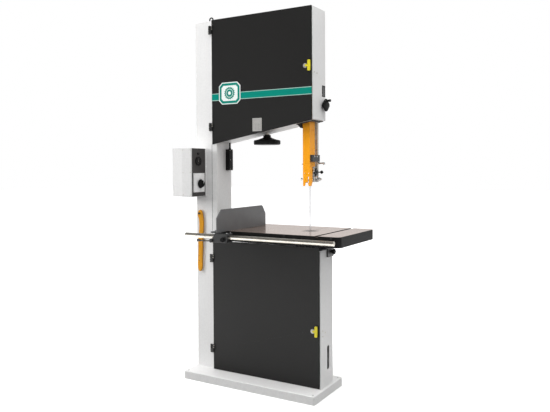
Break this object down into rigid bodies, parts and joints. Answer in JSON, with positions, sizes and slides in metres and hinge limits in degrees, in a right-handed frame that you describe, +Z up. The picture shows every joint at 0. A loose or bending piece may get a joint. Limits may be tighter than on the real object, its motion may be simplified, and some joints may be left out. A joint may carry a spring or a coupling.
{
  "type": "vertical band saw",
  "caption": "Free-standing two-wheel vertical band saw with hinged wheel housings, tilting cast table, rip fence on a round rail, rising blade guard and blade tension handwheel.",
  "frame": {"origin": "centre of the plinth's underside, on the floor", "axes": "+Z up, +X towards the operator's right along the table's length, -Y towards the operator"},
  "size_m": [1.177, 0.729, 2.3295],
  "materials": {
    "frame_paint": "light grey powder coat, fine orange peel",
    "door_paint": "charcoal satin powder coat",
    "black_steel": "black oxide or black paint, satin",
    "teal": "teal printed film with pale borders",
    "label_metal": "blank satin aluminium plate",
    "yellow": "moulded yellow handle with steel lock",
    "cast_table": "ground cast iron top, dark painted sides",
    "cast_grey": "as cast, painted",
    "rubber": "ribbed tyre rubber",
    "steel": "ground and brushed steel",
    "blade_steel": "bright band steel",
    "chrome": "bright plated",
    "guard_paint": "orange-yellow enamel",
    "stick_plastic": "moulded orange plastic",
    "black_plastic": "moulded black plastic",
    "fence_alu": "dark grey anodised plate",
    "motor_paint": "dark grey motor enamel",
    "belt_rubber": "flat belt",
    "panel_dark": "dark panel film",
    "panel_light": "light panel plate",
    "insert_plastic": "soft alloy insert"
  },
  "bodies": {
    "frame": {"base_plate": "frame_paint", "column": "frame_paint", "upper_housing": "frame_paint", "lower_housing": "frame_paint", "lifting_eye": "black_steel", "hinge_leaves": "black_steel", "frame_screws": "steel", "tension_rails": "cast_grey", "lower_bearing": "cast_grey", "saw_blade": "blade_steel", "drive_belt": "belt_rubber", "motor": "motor_paint", "motor_plate": "frame_paint", "post_socket": "cast_grey", "trunnion_cradle": "cast_grey", "control_enclosure": "frame_paint", "control_panel": "panel_dark", "selector_plate": "panel_light", "panel_gauges": "black_plastic", "switch_box": "black_plastic", "tilt_bracket": "black_steel"},
    "upper_door": {"upper_door": "door_paint", "door_stripe": "teal", "door_plates": "label_metal"},
    "upper_latch": {"upper_latch": "yellow"},
    "lower_door": {"lower_door": "door_paint"},
    "lower_latch": {"lower_latch": "yellow"},
    "tension_wheel": {"tension_handwheel": "black_plastic", "tension_screw": "steel"},
    "wheel_slide": {"wheel_carriage": "cast_grey"},
    "upper_wheel": {"upper_wheel": "cast_grey", "upper_tyre": "rubber", "wheel_bearings": "steel"},
    "lower_wheel": {"lower_wheel": "cast_grey", "lower_tyre": "rubber", "lower_shaft": "steel", "lower_pulley": "cast_grey"},
    "motor_rotor": {"motor_pulley": "cast_grey"},
    "guide_post": {"guide_post": "steel", "blade_guard": "guard_paint", "clamp_block": "black_steel", "guide_bracket": "label_metal", "side_guides": "steel", "guide_nuts": "chrome"},
    "thrust_roller": {"thrust_roller": "steel"},
    "guard_lever": {"guard_lever": "chrome"},
    "guide_knob": {"guide_knob": "black_plastic"},
    "height_wheel": {"height_handwheel": "black_plastic", "pinion_shaft": "steel"},
    "table": {"table_top": "cast_table", "trunnions": "cast_grey", "front_rail": "steel"},
    "table_insert": {"table_insert": "insert_plastic"},
    "fence": {"fence_carriage": "black_steel", "fence_bracket": "black_steel", "fence_plate": "fence_alu"},
    "fence_lever": {"fence_lever": "black_steel"},
    "selector_knob": {"selector_knob": "black_plastic"},
    "push_stick": {"push_stick": "stick_plastic"},
    "tilt_knob": {"tilt_knob": "black_plastic"}
  },
  "joints": [
    {"name": "upper_door_hinge", "type": "hinge", "parent": "frame", "child": "upper_door", "pos_m": [-0.327, -0.083, 1.893], "axis": [0, 0, -1], "range_deg": [0, 110]},
    {"name": "upper_latch_turn", "type": "hinge", "parent": "upper_door", "child": "upper_latch", "pos_m": [0.359, -0.076, 1.942], "axis": [0, 1, 0], "range_deg": [0, 90]},
    {"name": "lower_door_hinge", "type": "hinge", "parent": "frame", "child": "lower_door", "pos_m": [-0.327, -0.083, 0.466], "axis": [0, 0, -1], "range_deg": [0, 110]},
    {"name": "lower_latch_turn", "type": "hinge", "parent": "lower_door", "child": "lower_latch", "pos_m": [0.401, -0.076, 0.389], "axis": [0, 1, 0], "range_deg": [0, 90]},
    {"name": "wheel_slide", "type": "slide", "parent": "frame", "child": "wheel_slide", "axis": [0, 0, 1], "range_m": [-0.02, 0]},
    {"name": "tension_turn", "type": "hinge", "parent": "frame", "child": "tension_wheel", "pos_m": [0.022, 0.045, 1.505], "axis": [0, 0, 1], "range_deg": [-1210, 0]},
    {"name": "upper_wheel_spin", "type": "hinge", "parent": "wheel_slide", "child": "upper_wheel", "pos_m": [0.022, 0.008, 1.922], "axis": [0, 1, 0], "continuous": true},
    {"name": "lower_wheel_spin", "type": "hinge", "parent": "frame", "child": "lower_wheel", "pos_m": [0.022, 0.008, 0.467], "axis": [0, 1, 0], "continuous": true},
    {"name": "motor_spin", "type": "hinge", "parent": "frame", "child": "motor_rotor", "pos_m": [-0.038, 0.06, 0.237], "axis": [0, 1, 0], "continuous": true},
    {"name": "post_slide", "type": "slide", "parent": "frame", "child": "guide_post", "axis": [0, 0, 1], "range_m": [-0.235, 0.18]},
    {"name": "height_turn", "type": "hinge", "parent": "frame", "child": "height_wheel", "pos_m": [0.43, 0.06, 1.719], "axis": [1, 0, 0], "range_deg": [-1640, 1260]},
    {"name": "thrust_spin", "type": "hinge", "parent": "guide_post", "child": "thrust_roller", "pos_m": [0.3428, 0.03, 1.33], "axis": [0, 1, 0], "continuous": true},
    {"name": "guard_lever_turn", "type": "hinge", "parent": "guide_post", "child": "guard_lever", "pos_m": [0.367, 0.079, 1.372], "axis": [1, 0, 0], "range_deg": [-40, 40]},
    {"name": "guide_knob_turn", "type": "hinge", "parent": "guide_post", "child": "guide_knob", "pos_m": [0.37, 0.079, 1.318], "axis": [1, 0, 0], "range_deg": [-180, 180]},
    {"name": "table_tilt", "type": "hinge", "parent": "frame", "child": "table", "pos_m": [0.3428, 0.008, 0.966], "axis": [0, 1, 0], "range_deg": [0, 20]},
    {"name": "insert_lift", "type": "slide", "parent": "table", "child": "table_insert", "axis": [0, 0, 1], "range_m": [0, 0.006]},
    {"name": "fence_slide", "type": "slide", "parent": "table", "child": "fence", "axis": [1, 0, 0], "range_m": [-0.06, 0.345]},
    {"name": "fence_lever_turn", "type": "hinge", "parent": "fence", "child": "fence_lever", "pos_m": [-0.16, -0.308, 0.911], "axis": [0, 1, 0], "range_deg": [0, 60]},
    {"name": "selector_turn", "type": "hinge", "parent": "frame", "child": "selector_knob", "pos_m": [-0.36, -0.139, 1.247], "axis": [1, 0, 0], "range_deg": [-90, 90]},
    {"name": "stick_lift", "type": "slide", "parent": "frame", "child": "push_stick", "axis": [0, -1, 0], "range_m": [0, 0.03]},
    {"name": "tilt_lock_turn", "type": "hinge", "parent": "frame", "child": "tilt_knob", "pos_m": [0.47, 0.066, 0.843], "axis": [1, 0, 0], "range_deg": [-360, 0]}
  ],
  "couplings": [
    {"joint": "tension_turn", "follows": "wheel_slide", "rad_per_m": 1047.2},
    {"joint": "height_turn", "follows": "post_slide", "rad_per_m": 120.48},
    {"joint": "upper_wheel_spin", "follows": "lower_wheel_spin", "ratio": 1},
    {"joint": "motor_spin", "follows": "lower_wheel_spin", "ratio": 2.2222}
  ]
}
